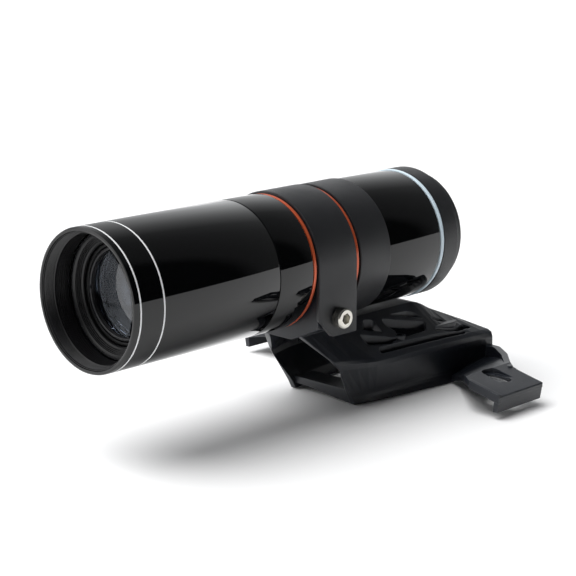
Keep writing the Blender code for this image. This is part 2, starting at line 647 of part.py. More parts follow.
def main():
    clear_scene()
    mats = make_materials()
    add_front_tube(mats)
    add_main_barrel(mats)
    add_rings_and_shells(mats)
    add_rear_cap(mats)
    add_panel_fittings(mats)
    add_optics(mats)
    add_electronics(mats)
    add_strap(mats)
    for name, side in (("near", 1), ("far", -1)):
        add_clamp_screw(f"clamp_screw_{name}", side, mats)
        add_insert(f"insert_{name}", side, mats)
    add_bracket(mats)


main()
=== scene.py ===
import math

import bmesh
import bpy
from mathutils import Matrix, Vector


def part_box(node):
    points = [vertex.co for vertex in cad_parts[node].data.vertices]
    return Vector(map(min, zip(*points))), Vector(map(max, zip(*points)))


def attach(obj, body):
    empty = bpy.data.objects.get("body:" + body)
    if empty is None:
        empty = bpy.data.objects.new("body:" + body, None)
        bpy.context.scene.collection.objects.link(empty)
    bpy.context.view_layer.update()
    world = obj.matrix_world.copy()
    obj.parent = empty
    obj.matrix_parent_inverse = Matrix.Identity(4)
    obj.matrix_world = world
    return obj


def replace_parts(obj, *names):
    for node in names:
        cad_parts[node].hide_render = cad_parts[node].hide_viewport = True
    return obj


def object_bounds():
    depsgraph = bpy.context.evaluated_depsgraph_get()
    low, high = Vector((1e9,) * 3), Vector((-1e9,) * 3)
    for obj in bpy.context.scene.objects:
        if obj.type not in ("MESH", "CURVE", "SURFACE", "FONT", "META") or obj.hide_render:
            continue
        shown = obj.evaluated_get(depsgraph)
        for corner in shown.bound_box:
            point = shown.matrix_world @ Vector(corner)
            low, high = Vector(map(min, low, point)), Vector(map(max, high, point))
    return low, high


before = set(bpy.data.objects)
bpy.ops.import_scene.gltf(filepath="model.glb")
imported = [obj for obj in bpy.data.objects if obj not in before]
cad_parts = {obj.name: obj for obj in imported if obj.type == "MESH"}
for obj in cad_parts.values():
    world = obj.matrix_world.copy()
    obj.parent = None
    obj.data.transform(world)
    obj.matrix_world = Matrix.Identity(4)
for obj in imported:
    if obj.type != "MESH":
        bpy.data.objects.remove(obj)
cad_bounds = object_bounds()

MM = 0.001
FINE = 176         # steps round a large ring
MEDIUM = 96
SMALL = 40


def millimetres(value):
    """Metres as millimetres, without the last digits of a 32-bit number."""
    return round(value / MM, 4)


front_low, front_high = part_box("front_tube")
FOOT_Y = -millimetres(front_low.y)                        # distance of the origin behind the front rim
AXIS_Z = millimetres((front_low.z + front_high.z) / 2)    # height of the tube's axis above the origin
TUBE_R = millimetres((front_high.x - front_low.x) / 2)


def ends(node):
    """Where a CAD node starts and ends, measured back from the front rim."""
    low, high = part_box(node)
    return round(millimetres(low.y) + FOOT_Y, 4), round(millimetres(high.y) + FOOT_Y, 4)


def outer_radius(node):
    """The outer radius of a CAD node that is round about the tube's axis."""
    return millimetres(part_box(node)[1].x)


def middle_of(node):
    """The middle of a CAD node, across and up from the tube's axis."""
    low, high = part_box(node)
    return millimetres((low.x + high.x) / 2), round(millimetres((low.z + high.z) / 2) - AXIS_Z, 4)


# Radii that no single node's box gives
SEAT_R = 21.6      # the barrel under the strap, the collar and the cap
SLEEVE_R = 21.95   # the inside of the rings that sit on it
BORE_R = 21.2
STRIPES_Y = (2.37, 11.92)
NEARLY_ZERO = 0.01  # radius of the hair-thin core along a turned piece's axis


def place(x, y, z):
    """Tube millimetres, with y from the front rim and z from the axis, to the row frame in metres."""
    return Vector((x, y - FOOT_Y, z + AXIS_Z)) * MM


# ---------------------------------------------------------------- materials


class Nodes:
    """A small wrapper that adds and links shader nodes."""

    def __init__(self, name):
        self.material = bpy.data.materials.new(name)
        self.material.use_nodes = True
        self.tree = self.material.node_tree
        self.shader = self.tree.nodes["Principled BSDF"]

    def add(self, kind, **values):
        node = self.tree.nodes.new(kind)
        for key, value in values.items():
            if hasattr(node, key):
                setattr(node, key, value)
            else:
                node.inputs[key.replace("_", " ")].default_value = value
        return node

    def link(self, source, target):
        self.tree.links.new(source, target)

    def math(self, operation, a, b=None, clamp=False):
        node = self.tree.nodes.new("ShaderNodeMath")
        node.operation = operation
        node.use_clamp = clamp
        for socket, value in zip(node.inputs, (a, b)):
            if value is None:
                continue
            if isinstance(value, (int, float)):
                socket.default_value = value
            else:
                self.link(value, socket)
        return node.outputs[0]

    def remap(self, value, low, high, new_low, new_high):
        node = self.tree.nodes.new("ShaderNodeMapRange")
        self.link(value, node.inputs["Value"])
        limits = {"From Min": low, "From Max": high, "To Min": new_low, "To Max": new_high}
        for socket, number in limits.items():
            node.inputs[socket].default_value = number
        return node.outputs[0]

    def noise(self, vector, scale, detail=3.0, roughness=0.5):
        node = self.tree.nodes.new("ShaderNodeTexNoise")
        self.link(vector, node.inputs["Vector"])
        node.inputs["Scale"].default_value = scale
        node.inputs["Detail"].default_value = detail
        node.inputs["Roughness"].default_value = roughness
        return node.outputs["Fac"]

    def mix(self, factor, first, second):
        node = self.tree.nodes.new("ShaderNodeMix")
        node.data_type = "RGBA"
        for socket, value in ((node.inputs[0], factor), (node.inputs[6], first), (node.inputs[7], second)):
            if isinstance(value, tuple):
                socket.default_value = (*value, 1.0)
            elif isinstance(value, (int, float)):
                socket.default_value = value
            else:
                self.link(value, socket)
        return node.outputs[2]


def position(nodes):
    return nodes.add("ShaderNodeTexCoord").outputs["Object"]


def turned_position(nodes):
    """A coordinate that only changes along the tube and outward from its axis, for lathe marks."""
    split = nodes.add("ShaderNodeSeparateXYZ")
    nodes.link(position(nodes), split.inputs[0])
    height = nodes.math("SUBTRACT", split.outputs[2], AXIS_Z * MM)
    across = nodes.math("POWER", split.outputs[0], 2.0)
    up = nodes.math("POWER", height, 2.0)
    radius = nodes.math("SQRT", nodes.math("ADD", across, up))
    joined = nodes.add("ShaderNodeCombineXYZ")
    nodes.link(split.outputs[1], joined.inputs[0])
    nodes.link(radius, joined.inputs[1])
    return joined.outputs[0]


def finish_material(
    name, color, roughness, metallic=0.0, spread=0.05, grain=2500.0, depth=0.3, mottle=0.12, turned=0.0,
    coat=0.0, coat_roughness=0.03, coat_tint=(1.0, 1.0, 1.0), edge=0.0, edge_color=(0.3, 0.3, 0.31),
    bevel=0.0, specular=0.5,
):
    """A grained finish with lighter edges, partly wear and partly painted highlight.

    depth is the height of the grain, turned the height of lathe marks, and edge how much the edges are
    lightened, as wear and as painted highlight.
    """
    nodes = Nodes(name)
    shader = nodes.shader
    where = position(nodes)
    broad = nodes.noise(where, 45.0, 4.0)
    fine = nodes.noise(where, grain, 2.0)
    dark = tuple(channel * (1 - mottle) for channel in color)
    light = tuple(min(1.0, channel * (1 + mottle)) for channel in color)
    tone = nodes.mix(broad, dark, light)
    broad_rough = nodes.remap(broad, 0.3, 0.7, roughness - spread, roughness + spread)
    fine_rough = nodes.remap(fine, 0.2, 0.8, -spread * 0.5, spread * 0.5)
    rough = nodes.math("ADD", broad_rough, fine_rough, clamp=True)
    height = nodes.math("MULTIPLY", fine, depth)
    if turned:
        lines = nodes.noise(turned_position(nodes), 9000.0, 2.0)
        height = nodes.math("ADD", height, nodes.math("MULTIPLY", lines, turned))
    bump = nodes.add("ShaderNodeBump")
    bump.inputs["Strength"].default_value = 1.0
    bump.inputs["Distance"].default_value = 0.00005
    nodes.link(height, bump.inputs["Height"])
    if bevel:
        rounded = nodes.add("ShaderNodeBevel", samples=6)
        rounded.inputs["Radius"].default_value = bevel
        nodes.link(rounded.outputs[0], bump.inputs["Normal"])
    # Lighter edges: partly wear, partly a painted highlight for light caught on rims and corners.
    if edge:
        wide = nodes.add("ShaderNodeBevel", samples=6)
        wide.inputs["Radius"].default_value = 0.0006
        flat = nodes.add("ShaderNodeNewGeometry")
        dot = nodes.add("ShaderNodeVectorMath", operation="DOT_PRODUCT")
        nodes.link(wide.outputs[0], dot.inputs[0])
        nodes.link(flat.outputs["Normal"], dot.inputs[1])
        edge_wear_and_highlight = nodes.remap(dot.outputs["Value"], 0.99, 0.8, 0.0, edge)
        patches = nodes.remap(nodes.noise(where, 500.0, 3.0), 0.35, 0.65, 0.2, 1.0)
        patchy = nodes.math("MULTIPLY", edge_wear_and_highlight, patches, clamp=True)
        tone = nodes.mix(patchy, tone, edge_color)
    nodes.link(tone, shader.inputs["Base Color"])
    nodes.link(rough, shader.inputs["Roughness"])
    nodes.link(bump.outputs[0], shader.inputs["Normal"])
    shader.inputs["Metallic"].default_value = metallic
    shader.inputs["Specular IOR Level"].default_value = specular
    if coat:
        shader.inputs["Coat Weight"].default_value = coat
        shader.inputs["Coat Tint"].default_value = (*coat_tint, 1.0)
        shader.inputs["Coat Roughness"].default_value = coat_roughness
        skin = nodes.noise(where, 160.0, 2.0)
        peel = nodes.add("ShaderNodeBump")
        peel.inputs["Strength"].default_value = 0.25
        peel.inputs["Distance"].default_value = 0.00002
        nodes.link(skin, peel.inputs["Height"])
        nodes.link(peel.outputs[0], shader.inputs["Coat Normal"])
    return nodes.material


def glass_material(name, tint, coating, strength):
    """Coated optical glass: clear, with a thin coloured reflection that varies slowly over the face."""
    nodes = Nodes(name)
    shader = nodes.shader
    where = position(nodes)
    film = nodes.noise(where, 60.0, 2.0)
    other = tuple(channel * 0.6 for channel in reversed(coating))
    nodes.link(nodes.mix(film, coating, other), shader.inputs["Coat Tint"])
    smudge = nodes.noise(where, 30.0, 1.0)
    nodes.link(nodes.remap(smudge, 0.4, 0.75, 0.0, 0.012), shader.inputs["Roughness"])
    shader.inputs["Base Color"].default_value = (*tint, 1.0)
    shader.inputs["Transmission Weight"].default_value = 1.0
    shader.inputs["IOR"].default_value = 1.5
    shader.inputs["Specular IOR Level"].default_value = 0.25
    shader.inputs["Coat Weight"].default_value = strength
    shader.inputs["Coat Roughness"].default_value = 0.02
    shader.inputs["Coat IOR"].default_value = 1.7
    return nodes.material


LOOKS = {
    "gloss": finish_material(
        "gloss_lacquer", (0.0012, 0.0013, 0.0015), 0.4, depth=0.1, coat=1.0, coat_roughness=0.02,
        coat_tint=(0.88, 0.94, 1.0), edge=0.15, edge_color=(0.05, 0.05, 0.055), specular=0.0,
    ),
    "matte": finish_material(
        "blasted_black", (0.0125, 0.013, 0.015), 0.4, spread=0.08, grain=4600.0, depth=2.0,
        edge=0.35, edge_color=(0.06, 0.06, 0.065), bevel=0.0002,
    ),
    # The bracket's strongly lightened bluish edges (edge 0.7) are a painted highlight.
    "moulding": finish_material(
        "bracket_black", (0.0125, 0.0145, 0.0195), 0.38, spread=0.08, grain=4200.0, depth=0.7,
        edge=0.7, edge_color=(0.085, 0.095, 0.11), bevel=0.0005,
    ),
    "inner": finish_material(
        "flocked_black", (0.004, 0.004, 0.0045), 0.4, spread=0.06, grain=5200.0, depth=0.15,
        turned=0.5, edge=0.2, edge_color=(0.05, 0.05, 0.055),
    ),
    "bright_inner": finish_material(
        "turned_black", (0.02, 0.02, 0.022), 0.24, grain=5200.0, depth=0.2, turned=0.8,
        edge=0.3, edge_color=(0.1, 0.1, 0.11),
    ),
    # The salmon edge colour is a painted highlight on the ring's rounded edges.
    "orange": finish_material(
        "orange_anodised", (0.6, 0.1, 0.035), 0.3, metallic=0.4, turned=0.5, coat=0.3,
        edge=0.3, edge_color=(0.9, 0.36, 0.2),
    ),
    "trim": finish_material(
        "pale_ring", (0.66, 0.78, 0.86), 0.25, grain=3800.0, depth=0.15, mottle=0.03,
        edge=0.2, edge_color=(0.85, 0.9, 0.94),
    ),
    "stripe": finish_material("white_print", (0.86, 0.87, 0.88), 0.4, grain=3000.0, depth=0.15, mottle=0.03),
    "steel": finish_material(
        "nickel_steel", (0.66, 0.64, 0.58), 0.27, metallic=1.0, spread=0.07, grain=6000.0,
        depth=0.35, mottle=0.06, edge=0.4, edge_color=(0.95, 0.94, 0.92), bevel=0.00012,
    ),
    "brass": finish_material("turned_brass", (0.72, 0.5, 0.2), 0.3, metallic=1.0, depth=0.3, turned=0.4),
    "board": finish_material("solder_mask", (0.012, 0.12, 0.045), 0.35, grain=2600.0, depth=0.3, mottle=0.2),
    "sensor": finish_material("silicon", (0.06, 0.07, 0.12), 0.16, metallic=0.5, depth=0.1, mottle=0.25),
    "liner": finish_material("felt_black", (0.012, 0.012, 0.012), 0.85, spread=0.08, grain=7000.0, depth=2.0),
    "lamp": finish_material("lamp_resin", (0.7, 0.78, 0.74), 0.2, depth=0.1, mottle=0.05),
    "gold": finish_material("gold_contact", (0.85, 0.62, 0.26), 0.22, metallic=1.0, grain=6000.0, depth=0.2),
}
LOOKS["glass"] = glass_material("coated_glass", (0.8, 0.86, 0.93), (0.25, 0.36, 0.55), 0.15)
LOOKS["clear"] = glass_material("clear_glass", (0.98, 0.99, 0.99), (0.6, 0.6, 0.75), 0.2)


# ---------------------------------------------------------------- shape helpers


def mesh_piece(name, verts, faces, look, body, sharp=32.0):
    mesh = bpy.data.meshes.new(name)
    mesh.from_pydata([tuple(v) for v in verts], [], faces)
    bm = bmesh.new()
    bm.from_mesh(mesh)
    bmesh.ops.remove_doubles(bm, verts=bm.verts, dist=1e-7)
    bmesh.ops.recalc_face_normals(bm, faces=bm.faces)
    if bm.calc_volume(signed=True) < 0:
        bmesh.ops.reverse_faces(bm, faces=bm.faces)
    bm.to_mesh(mesh)
    bm.free()
    mesh.materials.append(LOOKS[look])
    mesh.shade_smooth()
    mesh.set_sharp_from_angle(angle=math.radians(sharp))
    piece = bpy.data.objects.new(name, mesh)
    bpy.context.scene.collection.objects.link(piece)
    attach(piece, body)
    return piece


def fillet(profile, radius, steps=3, closed=True):
    """Rounds each corner of a polyline of (along, radius) points."""
    count = len(profile)
    result = []
    for i, point in enumerate(profile):
        if not closed and i in (0, count - 1):
            result.append(point)
            continue
        here = Vector(point)
        before = Vector(profile[i - 1]) - here
        after = Vector(profile[(i + 1) % count]) - here
        reach = min(radius, before.length * 0.45, after.length * 0.45)
        if reach < 1e-4 or before.angle(after) > math.radians(168):
            result.append(point)
            continue
        start = here + before.normalized() * reach
        end = here + after.normalized() * reach
        for step in range(steps + 1):
            t = step / steps
            bent = start * (1 - t) ** 2 + here * (2 * t * (1 - t)) + end * t ** 2
            result.append(tuple(bent))
    return result


def washer(start, end, inner, outer):
    """The profile of a plain ring."""
    return [(start, inner), (start, outer), (end, outer), (end, inner)]


def turned_piece(
    name, profile, look, body, steps=FINE, centre=(0.0, 0.0), axis="y", sharp=32.0,
):
    """Spins a closed profile of (along, radius) points, in millimetres, round an axis."""
    verts = []
    for step in range(steps):
        angle = 2 * math.pi * step / steps
        c, s = math.cos(angle), math.sin(angle)
        for along, radius in profile:
            if axis == "y":
                verts.append(place(centre[0] + radius * c, along, centre[1] + radius * s))
            else:
                verts.append(place(along, centre[0] + radius * c, centre[1] + radius * s))
    count = len(profile)
    faces = []
    for step in range(steps):
        a, b = step * count, ((step + 1) % steps) * count
        for i in range(count):
            j = (i + 1) % count
            faces.append((a + i, a + j, b + j, b + i))
    return mesh_piece(name, verts, faces, look, body, sharp)


def prism_piece(name, outline, low, high, look, body, axis="z"):
    """Extrudes an outline along z (x, y points), y (x, z points) or x (y, z points)."""
    order = {"z": (0, 1, 2), "y": (0, 2, 1), "x": (2, 0, 1)}[axis]
    verts = []
    for level in (low, high):
        for a, b in outline:
            ordered = (a, b, level)
            verts.append(place(*[ordered[i] for i in order]))
    count = len(outline)
    faces = [(i, (i + 1) % count, count + (i + 1) % count, count + i) for i in range(count)]
    faces.append(tuple(range(count)))
    faces.append(tuple(range(count, 2 * count)))
    return mesh_piece(name, verts, faces, look, body, 32.0)


def rounded_rectangle(width, height, corner, centre=(0.0, 0.0), steps=5):
    points = []
    for turn, (sx, sy) in enumerate([(1, 1), (-1, 1), (-1, -1), (1, -1)]):
        cx = centre[0] + sx * (width / 2 - corner)
        cy = centre[1] + sy * (height / 2 - corner)
        for step in range(steps + 1):
            angle = math.radians(90 * (turn + step / steps))
            points.append((cx + corner * math.cos(angle), cy + corner * math.sin(angle)))
    return points


def cut_away(piece, *cutters):
    """Takes cutters out of a piece for good, and deletes them."""
    for cutter in cutters:
        modifier = piece.modifiers.new("cut", "BOOLEAN")
        modifier.operation = "DIFFERENCE"
        modifier.solver = "EXACT"
        modifier.object = cutter
    bpy.context.view_layer.update()
    graph = bpy.context.evaluated_depsgraph_get()
    result = bpy.data.meshes.new_from_object(piece.evaluated_get(graph))
    piece.modifiers.clear()
    piece.data = result
    for cutter in cutters:
        bpy.data.objects.remove(cutter, do_unlink=True)
    result.shade_smooth()
    result.set_sharp_from_angle(angle=math.radians(32))
    return piece


# ---------------------------------------------------------------- tube shells


def sawtooth(start, end, root, crest, pitch):
    """Thread-like grooves along a bore, as (along, radius) points."""
    points = []
    y = start
    while y + pitch <= end + 1e-6:
        points += [(y, root), (y + pitch * 0.5, crest)]
        y += pitch
    points.append((end, root))
    return points


def build_front_tube():
    mouth = 21.75
    seam = ends("front_tube")[1]
    lined = 22.1
    outer = [
        (0.35, lined), (0.12, lined + 0.12), (0.0, lined + 0.35),
        (0.0, TUBE_R - 0.5), (0.15, TUBE_R - 0.18), (0.5, TUBE_R),
        (seam - 0.35, TUBE_R), (seam - 0.1, TUBE_R - 0.1), (seam, TUBE_R - 0.35),
        (seam, BORE_R), (10.6, BORE_R), (10.6, lined),
    ]
    tube = turned_piece("front_tube_shell", outer, "gloss", "camera")
    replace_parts(tube, "front_tube")
    # Filter thread in the mouth, then fine anti-glare grooves back to the focus ring
    lining = [(0.4, lined - 0.1), (0.45, mouth + 0.1)]
    lining += sawtooth(0.9, 4.2, mouth, mouth - 0.28, 0.55)
    lining += [(4.6, BORE_R)]
    lining += sawtooth(5.2, 10.4, BORE_R, BORE_R - 0.12, 0.8)
    lining += [(10.5, lined - 0.1)]
    turned_piece("mouth_lining", lining, "inner", "camera")
    half = 0.3
    for index, middle in enumerate(STRIPES_Y):
        skin = washer(middle - half, middle + half, TUBE_R - 0.05, TUBE_R + 0.015)
        turned_piece(f"white_stripe_{index + 1}", skin, "stripe", "camera")


def build_barrel():
    front, rear = ends("main_barrel")
    step = 77.9
    barrel = fillet([
        (front, BORE_R), (front, TUBE_R), (step, TUBE_R), (step, SEAT_R),
        (rear, SEAT_R), (rear, 19.8), (75.6, 19.8), (75.6, BORE_R),
    ], 0.3)
    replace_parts(turned_piece("barrel_shell", barrel, "gloss", "camera"), "main_barrel")


def build_orange_ring(node):
    """A raised band between two lower shoulders."""
    front, rear = ends(node)
    middle, band = (front + rear) / 2, 0.6
    ring = [
        (front, SLEEVE_R), (front, TUBE_R - 0.8),
        (middle - band - 0.02, TUBE_R - 0.7), (middle - band, TUBE_R - 0.12),
        (middle + band, TUBE_R - 0.12), (middle + band + 0.02, TUBE_R - 0.7),
        (rear, TUBE_R - 0.8), (rear, SLEEVE_R),
    ]
    ring = fillet(ring, 0.28, 4)
    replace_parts(turned_piece(node + "_band", ring, "orange", "camera"), node)


def build_sleeves():
    front, rear = ends("rear_collar")
    collar_r = outer_radius("rear_collar")
    collar = [(front, SLEEVE_R), (front, collar_r - 0.1), (rear, collar_r), (rear, SLEEVE_R)]
    collar = fillet(collar, 0.35, 4)
    collar = turned_piece("rear_collar_band", collar, "matte", "camera")
    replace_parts(collar, "rear_collar")
    shell = fillet(washer(*ends("rear_tube"), SLEEVE_R, TUBE_R), 0.3, 3)
    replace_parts(turned_piece("rear_tube_shell", shell, "gloss", "camera"), "rear_tube")
    front, rear = ends("trim_ring")
    trim = fillet(washer(front + 0.2, rear, SLEEVE_R, outer_radius("trim_ring") - 0.05), 0.35, 4)
    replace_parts(turned_piece("trim_band", trim, "trim", "camera"), "trim_ring")
    coupling = fillet(washer(*ends("coupling_ring"), 18.8, outer_radius("coupling_ring")), 0.3)
    coupling = turned_piece("coupling_sleeve", coupling, "inner", "camera")
    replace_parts(coupling, "coupling_ring")


# ---------------------------------------------------------------- rear cap and sockets

PANEL_SCREWS = [middle_of(f"cap_screw_{tag}") for tag in "abc"]
AUX_X, AUX_Z = middle_of("aux_socket_right")
AUX_HALF = 5.7
USB_Z = middle_of("usb_socket")[1]
LAMP = middle_of("status_led")
CAP_START, CAP_END = ends("rear_cap")
CAP_R = outer_radius("rear_cap")
CAP_FRONT_WALL = 153.9
CUT_START, CUT_END = 150, 160   # the cutters reach well past both sides of the rear wall
HOUSING_START, HOUSING_END = ends("aux_socket_right")


def hexagon(centre, reach, turn=0.0):
    angles = [math.pi * k / 3 + turn for k in range(6)]
    return [(centre[0] + reach * math.cos(a), centre[1] + reach * math.sin(a)) for a in angles]


def build_cap():
    outer = fillet([
        (CAP_FRONT_WALL, 20.2), (CAP_START, 20.2), (CAP_START, SEAT_R - 0.02), (145.9, SEAT_R - 0.02),
        (145.9, CAP_R), (153.5, CAP_R), (153.5, 21.75), (CAP_END, 21.75),
    ], 0.45, 4, closed=False)
    profile = outer[:-1] + [
        (CAP_END - 0.7, 21.75), (CAP_END - 0.2, 21.5), (CAP_END, 21.0), (CAP_END, NEARLY_ZERO),
        (CAP_FRONT_WALL, NEARLY_ZERO),
    ]
    cap = turned_piece("rear_cap_shell", profile, "matte", "camera")
    cutters = []
    for index, centre in enumerate(PANEL_SCREWS):
        step = [
            (CUT_START, NEARLY_ZERO), (CUT_START, 1.55), (CAP_END - 2.1, 1.55), (CAP_END - 2.1, 2.7),
            (CAP_END - 0.25, 2.7), (CAP_END + 1, 3.6), (CAP_END + 1, NEARLY_ZERO),
        ]
        cutters.append(turned_piece(f"hole_{index}", step, "matte", "camera", SMALL, centre))
    slot = rounded_rectangle(9.7, 4.0, 1.9, (0, USB_Z))
    cutters.append(prism_piece("hole_usb", slot, CUT_START, CUT_END, "matte", "camera", "y"))
    for side in (-1, 1):
        opening = 2 * AUX_HALF + 0.6
        square = rounded_rectangle(opening, opening, 0.45, (side * AUX_X, AUX_Z))
        cutters.append(prism_piece(f"hole_aux_{side}", square, CUT_START, CUT_END, "matte", "camera", "y"))
    lamp_hole = [(CUT_START, NEARLY_ZERO), (CUT_START, 1.6), (CUT_END, 1.6), (CUT_END, NEARLY_ZERO)]
    cutters.append(turned_piece("hole_lamp", lamp_hole, "matte", "camera", SMALL, LAMP))
    cut_away(cap, *cutters)
    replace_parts(cap, "rear_cap")


def build_aux_socket(side, node, rear):
    """A square housing with a stepped mouth and six sprung contacts."""
    x = side * AUX_X
    outline = rounded_rectangle(2 * AUX_HALF, 2 * AUX_HALF, 0.5, (x, AUX_Z))
    body = prism_piece(f"{node}_housing", outline, HOUSING_START, rear, "inner", "camera", "y")
    # Half of the mouth, as (across, up) from the middle of the housing
    steps = [(4.7, 4.1), (4.7, -2.9), (3.0, -2.9), (3.0, -4.4), (1.6, -4.4), (1.6, -5.2)]
    right = [(x + across, AUX_Z + up) for across, up in steps]
    left = [(x - across, AUX_Z + up) for across, up in reversed(steps)]
    mouth = left[-1:] + right + left[:-1]
    cut_away(body, prism_piece("mouth_cut", mouth, rear - 9, rear + 1, "inner", "camera", "y"))
    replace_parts(body, node)
    for pin in range(6):
        middle = x + (pin - 2.5) * 1.05
        # As (behind the rear face, up)
        bends = [(8.8, 3.8), (1.6, 3.8), (1.2, 3.3), (6.2, 0.4), (6.4, 0.7), (1.9, 3.4), (8.8, 3.5)]
        spring = [(rear - inward, AUX_Z + up) for inward, up in bends]
        prism_piece(f"{node}_contact_{pin + 1}", spring, middle - 0.2, middle + 0.2, "gold", "camera", "x")


def build_usb_socket(rear):
    shell_outline = rounded_rectangle(9.0, 3.3, 1.6, (0, USB_Z), 8)
    front = ends("usb_socket")[0] + 0.1
    shell = prism_piece("usb_shell", shell_outline, front, rear, "steel", "camera", "y")
    hollow = rounded_rectangle(8.4, 2.7, 1.3, (0, USB_Z), 8)
    cut_away(shell, prism_piece("usb_cut", hollow, rear - 6.2, rear + 1, "steel", "camera", "y"))
    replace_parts(shell, "usb_socket")
    tongue = rounded_rectangle(6.6, 0.7, 0.2, (0, USB_Z))
    prism_piece("usb_tongue", tongue, rear - 6.4, rear - 0.7, "inner", "camera", "y")
    for row, z in enumerate((USB_Z + 0.37, USB_Z - 0.37)):
        for pin in range(8):
            x = (pin - 3.5) * 0.75
            pad = [(x - 0.14, z - 0.03), (x + 0.14, z - 0.03), (x + 0.14, z + 0.03), (x - 0.14, z + 0.03)]
            prism_piece(f"usb_pad_{row}_{pin}", pad, rear - 5.5, rear - 1.2, "gold", "camera", "y")


def build_sockets():
    rear = HOUSING_END
    for side, node in ((-1, "aux_socket_left"), (1, "aux_socket_right")):
        build_aux_socket(side, node, rear)
    build_usb_socket(rear)
    lamp = [
        (HOUSING_START, NEARLY_ZERO), (HOUSING_START, 1.25), (CAP_END - 1.0, 1.25), (CAP_END - 0.6, 1.1),
        (CAP_END - 0.4, 0.8), (CAP_END - 0.3, NEARLY_ZERO),
    ]
    lamp = turned_piece("lamp_lens", lamp, "lamp", "camera", SMALL, LAMP)
    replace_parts(lamp, "status_led")


def build_cap_screws():
    tip, top = ends("cap_screw_a")
    shape = [
        (tip, NEARLY_ZERO), (tip, 1.0), (tip + 0.3, 1.2), (top - 1.4, 1.2), (top - 1.4, 2.2),
        (top - 0.5, 2.2), (top - 0.15, 2.0), (top, 1.6), (top, NEARLY_ZERO),
    ]
    for centre, tag in zip(PANEL_SCREWS, "abc"):
        name = f"cap_screw_{tag}_head"
        screw = turned_piece(name, shape, "steel", "camera", SMALL, centre)
        drive = prism_piece("drive_cut", hexagon(centre, 1.0), top - 1.1, top + 1, "steel", "camera", "y")
        cut_away(screw, drive)
        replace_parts(screw, f"cap_screw_{tag}")


# ---------------------------------------------------------------- optics


LENS_R = outer_radius("lens_front")
CELL_R = 16.7


def build_focus_ring():
    """A ring with four small steps down to its hole, and a bright lip round the front."""
    front, rear = ends("focus_ring")
    rear -= 0.1
    hole = 17.05
    ring = [(13.2, hole), (13.2, 17.5), (12.95, 17.9)]
    for step in range(4):
        r = 17.9 + step * 0.42
        y = 12.9 - step * 0.33
        ring += [(y, r + 0.06), (y - 0.02, r + 0.3), (y - 0.3, r + 0.36)]
    ring += [
        (front + 0.3, 19.9), (front + 0.05, 20.15), (front, 20.5), (front + 0.05, 20.9),
        (front + 0.3, 21.1), (rear, 21.1), (rear, hole),
    ]
    focus = turned_piece("focus_ring_body", ring, "inner", "focus_ring")
    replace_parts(focus, "focus_ring")
    lip = [(11.3, 20.2), (11.04, 20.35), (11.02, 20.7), (11.14, 20.95), (11.4, 20.95), (11.4, 20.2)]
    turned_piece("focus_ring_lip", lip, "bright_inner", "focus_ring")


def build_lens_cell():
    front, rear = ends("lens_cell")
    flange_r = outer_radius("lens_cell") - 0.05
    cell = fillet([
        (front, 15.7), (front, CELL_R), (18.4, CELL_R), (18.4, flange_r), (20.8, flange_r), (20.8, CELL_R),
        (rear, CELL_R), (rear, 13.0), (44.4, 13.0), (44.4, 15.0), (15.95, 15.0), (15.95, 15.7),
    ], 0.22, 3)
    cell = turned_piece("lens_cell_body", cell, "inner", "lens_carriage")
    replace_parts(cell, "lens_cell")


def build_keeper():
    """The ring that holds the front glass, with two notches for a spanner."""
    front, rear = ends("retaining_ring")
    edge_r = outer_radius("retaining_ring")
    keeper = fillet([(front + 0.05, 14.3), (front, edge_r), (rear, edge_r), (rear, 14.3)], 0.3, 4)
    keeper = turned_piece("retaining_ring_body", keeper, "bright_inner", "lens_carriage")
    notches = []
    for side in (-1, 1):
        inner, outer = side * 14.1 - 0.5, side * 14.1 + 0.5
        notch = [(inner, 13.0), (outer, 13.0), (outer, 14.5), (inner, 14.5)]
        notches.append(prism_piece("notch", notch, -0.7, 0.7, "inner", "lens_carriage"))
    cut_away(keeper, *notches)
    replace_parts(keeper, "retaining_ring")


def lens_face(edge, sag, steps=18):
    """A curved face from its middle to its rim: sag is how far the middle stands behind the edge."""
    return [(edge + sag * (1 - (i / steps) ** 2), LENS_R * i / steps) for i in range(steps + 1)]


def build_lens(name, node, front, rear, front_bulge, rear_bulge):
    profile = lens_face(front, -front_bulge) + list(reversed(lens_face(rear, rear_bulge)))
    piece = turned_piece(name, profile, "glass", "lens_carriage", MEDIUM, sharp=50)
    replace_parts(piece, node)


def build_optics():
    build_focus_ring()
    build_lens_cell()
    build_keeper()
    build_lens("front_glass", "lens_front", 16.2, 18.6, 1.9, 1.0)
    build_lens("second_glass", "lens_second", 21.2, 24.6, 1.0, -1.2)
    build_lens("third_glass", "lens_third", 33.3, 36.3, -0.9, 1.2)
    build_lens("rear_glass", "lens_rear", 39.2, 43.2, 1.2, 0.9)
    spacer = fillet(washer(*ends("lens_spacer"), 13.7, LENS_R), 0.2)
    spacer = turned_piece("spacer_ring", spacer, "inner", "lens_carriage", MEDIUM)
    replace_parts(spacer, "lens_spacer")


# ---------------------------------------------------------------- strap and screws

SCREW_FRONT, SCREW_REAR = ends("clamp_screw_near")
SCREW_Y = (SCREW_FRONT + SCREW_REAR) / 2
SCREW_Z = middle_of("clamp_screw_near")[1]
STRAP_BOTTOM = round(millimetres(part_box("clamp_strap")[0].z) - AXIS_Z, 4)


